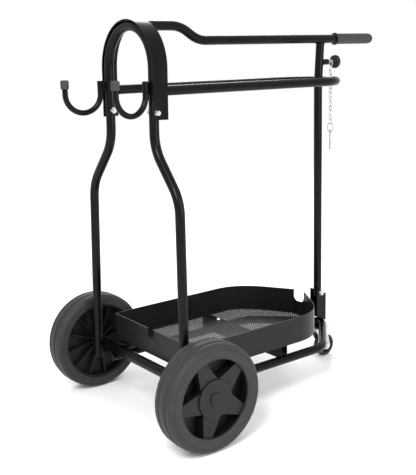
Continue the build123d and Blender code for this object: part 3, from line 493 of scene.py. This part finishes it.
def diamondGrip(spec):
    bm = bmesh.new()
    length = spec["end"] - spec["start"]
    # distance along the grip, radius
    collar = [
        (0.0, 0.0158),
        (0.0012, 0.0160),
        (0.0028, 0.0158),
        (0.0034, 0.0136),
        (0.0062, spec["radius"]),
    ]
    rings = int((length - 0.019) / spec["step"])
    body = [(spec["bodyStart"] + i * spec["step"], spec["radius"]) for i in range(rings)]
    dome = []
    for i in range(spec["domeSteps"] + 1):
        turn = i / spec["domeSteps"] * pi / 2
        along = length - spec["dome"] + spec["dome"] * sin(turn)
        dome.append((along, spec["radius"] - spec["dome"] * (1 - cos(turn))))
    profile = [(spec["start"] + x, 0, spec["height"] + r) for x, r in collar + body + dome]
    wallX = spec["end"] - spec["endWall"]
    profile += [
        (spec["end"], 0, spec["height"]),
        (wallX, 0, spec["height"]),
        (wallX, 0, spec["height"] + spec["bore"]),
        (spec["start"], 0, spec["height"] + spec["bore"]),
    ]
    spinProfile(bm, profile, (0, 0, spec["height"]), (1, 0, 0), 90)
    for vert in bm.verts:
        along = vert.co.x - spec["start"]
        away = Vector((0, vert.co.y, vert.co.z - spec["height"]))
        if 0.007 < along < length - 0.011 and away.length > spec["radius"] - 0.0003:
            angle = atan2(away.y, away.z) * spec["turns"] / 2
            lean = along / spec["pitch"] * pi
            ridge = min(abs(sin(angle + lean)), abs(sin(angle - lean))) ** 0.6
            vert.co += away.normalized() * spec["rib"] * ridge
    piece = makePiece("diamondGrip", bm, "grip", "saddle", 50)
    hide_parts("handle_grip")


diamondGrip(handGrip)
print("grip done")

# ---------- tyres ----------
tyre = {
    "centre": 0.125,
    "inside": 0.216,
    "radius": 0.125,
    "bore": 0.098,
    "lip": 0.089,
    "steps": 160,
}


def mouldedTyre(spec, side, sign):
    def at(across, radius):
        return (axleX, sign * (spec["inside"] + across), spec["centre"] + radius)

    r = spec["radius"]
    profile = [
        at(0.0, spec["bore"]),
        at(0.0, 0.1035),
        at(0.0, 0.112),
        at(0.0004, 0.1155),
        at(0.0018, 0.1192),
        at(0.0045, 0.1222),
        at(0.0085, 0.1238),
        at(0.0135, 0.1243),
        at(0.0180, 0.1244),
        at(0.0192, 0.1238),
        at(0.0200, 0.1221),
        at(0.0214, 0.1214),
        at(0.0228, 0.1221),
        at(0.0236, 0.1243),
        at(0.0250, r),
        at(0.0320, r),
        at(0.0402, r),
        at(0.0414, 0.1243),
        at(0.0422, 0.1221),
        at(0.0436, 0.1212),
        at(0.0450, 0.1219),
        at(0.0459, 0.1235),
        at(0.0474, 0.1239),
        at(0.0520, 0.1232),
        at(0.0560, 0.1216),
        at(0.0592, 0.1192),
        at(0.0614, 0.1162),
        at(0.0626, 0.1134),
        at(0.0632, 0.1124),
        at(0.0624, 0.1116),
        at(0.0632, 0.1106),
        at(0.0636, 0.1070),
        at(0.0630, 0.1010),
        at(0.0622, 0.0950),
        at(0.0616, 0.0925),
        at(0.0604, 0.0900),
        at(0.0590, spec["lip"]),
        at(0.0546, spec["lip"]),
        at(0.0546, spec["bore"]),
    ]
    bm = bmesh.new()
    spinProfile(bm, profile, (axleX, 0, spec["centre"]), (0, 1, 0), spec["steps"])
    piece = makePiece(f"mouldedTyre{side.capitalize()}", bm, "tyre", f"wheel_{side}", 40)
    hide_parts(f"tyre_{side}")


for side, sign in {"left": -1, "right": 1}.items():
    mouldedTyre(tyre, side, sign)
print("tyres done")

# ---------- weld beads ----------
welds = {
    # body it rides, centre, axis, radius of the seam
    "stubTop": ("saddle", (axleX + 0.5835, 0, 0.8712), (0.07, 0, 1), 0.0112),
    "stubFoot": ("saddle", (axleX + 0.577, 0, 0.7808), (0.07, 0, 1), 0.0112),
    "bossRoot": ("saddle", (axleX + 0.5915, 0, 0.823), (1, 0, 0), 0.0076),
}


def weldBead(name, body, centre, axis, radius, bead=0.0016, steps=56, ripples=22):
    bm = bmesh.new()
    loop = bmesh.ops.create_circle(bm, cap_ends=False, segments=10, radius=bead)["verts"]
    turn = Matrix.Rotation(pi / 2, 4, "X")
    bmesh.ops.transform(bm, matrix=Matrix.Translation((radius, 0, 0)) @ turn, verts=loop)
    bmesh.ops.spin(
        bm,
        geom=bm.verts[:] + bm.edges[:],
        cent=(0, 0, 0),
        axis=(0, 0, 1),
        angle=2 * pi,
        steps=steps,
        use_merge=True,
    )
    bmesh.ops.remove_doubles(bm, verts=bm.verts[:], dist=1e-6)
    bmesh.ops.recalc_face_normals(bm, faces=bm.faces[:])
    for vert in bm.verts:
        angle = atan2(vert.co.y, vert.co.x)
        vert.co *= 1 + 0.08 * sin(angle * ripples) * bead / radius
        vert.co.z += 0.0003 * noise.noise(vert.co * 300)
    facing = Vector((0, 0, 1)).rotation_difference(Vector(axis).normalized()).to_matrix().to_4x4()
    bmesh.ops.transform(bm, matrix=Matrix.Translation(centre) @ facing, verts=bm.verts[:])
    makePiece(f"weld{name[0].upper()}{name[1:]}", bm, "gloss", body, 80)


for name, (body, centre, axis, radius) in welds.items():
    weldBead(name, body, centre, axis, radius)
print("welds done")

# ---------- stage, light and camera ----------
stage = {"size": 60, "floor": "#ffffff", "sky": "#ffffff", "skyPower": 1.0}


def buildStage(spec):
    bm = bmesh.new()
    bmesh.ops.create_grid(bm, x_segments=1, y_segments=1, size=spec["size"])
    mesh = bpy.data.meshes.new("floor")
    bm.to_mesh(mesh)
    bm.free()
    floor = bpy.data.objects.new("floor", mesh)
    bpy.context.scene.collection.objects.link(floor)
    material, shader = newMaterial("paleFloor")
    shader.inputs["Base Color"].default_value = srgb(spec["floor"])
    shader.inputs["Roughness"].default_value = 0.9
    shader.inputs["Specular IOR Level"].default_value = 0.1
    mesh.materials.append(material)
    world = bpy.data.worlds.new("studio")
    world.use_nodes = True
    world.node_tree.nodes["Background"].inputs["Color"].default_value = srgb(spec["sky"])
    world.node_tree.nodes["Background"].inputs["Strength"].default_value = spec["skyPower"]
    bpy.context.scene.world = world


def softBox(name, place, target, size, power):
    light = bpy.data.lights.new(name, "AREA")
    light.shape = "RECTANGLE"
    light.size, light.size_y = size
    light.energy = power
    lamp = bpy.data.objects.new(name, light)
    lamp.location = place
    lamp.rotation_euler = (Vector(target) - Vector(place)).to_track_quat("-Z", "Y").to_euler()
    bpy.context.scene.collection.objects.link(lamp)


buildStage(stage)
softBox("keyBox", (-2.2, -1.6, 2.8), (0, 0, 0.4), (0.9, 1.4), 85)
softBox("sideBox", (0.6, -3.0, 1.3), (0, 0, 0.45), (0.5, 2.0), 35)
softBox("backBox", (1.5, 2.6, 2.4), (0, 0, 0.5), (2.0, 1.4), 45)

camera = {
    "place": (axleX - 0.984, -1.5693, 0.8431),
    "yaw": 53.05,
    "pitch": 12.52,
    "roll": -1.54,
    "lens": 70.19,
}


def buildCamera(spec):
    yaw, pitch, roll = (radians(spec[k]) for k in ("yaw", "pitch", "roll"))
    forward = Vector((cos(yaw) * cos(pitch), sin(yaw) * cos(pitch), -sin(pitch)))
    right = Vector((sin(yaw), -cos(yaw), 0))
    up = right.cross(forward)
    tiltedRight = right * cos(roll) + up * sin(roll)
    tiltedUp = up * cos(roll) - right * sin(roll)
    data = bpy.data.cameras.new("camera")
    data.lens = spec["lens"]
    data.sensor_width = 36
    data.sensor_fit = "HORIZONTAL"
    cam = bpy.data.objects.new("camera", data)
    turned = Matrix((tiltedRight, tiltedUp, -forward)).transposed().to_4x4()
    cam.matrix_world = Matrix.Translation(spec["place"]) @ turned
    bpy.context.scene.collection.objects.link(cam)
    bpy.context.scene.camera = cam


buildCamera(camera)
bpy.context.scene.view_settings.view_transform = "Standard"
print("stage, light and camera done")
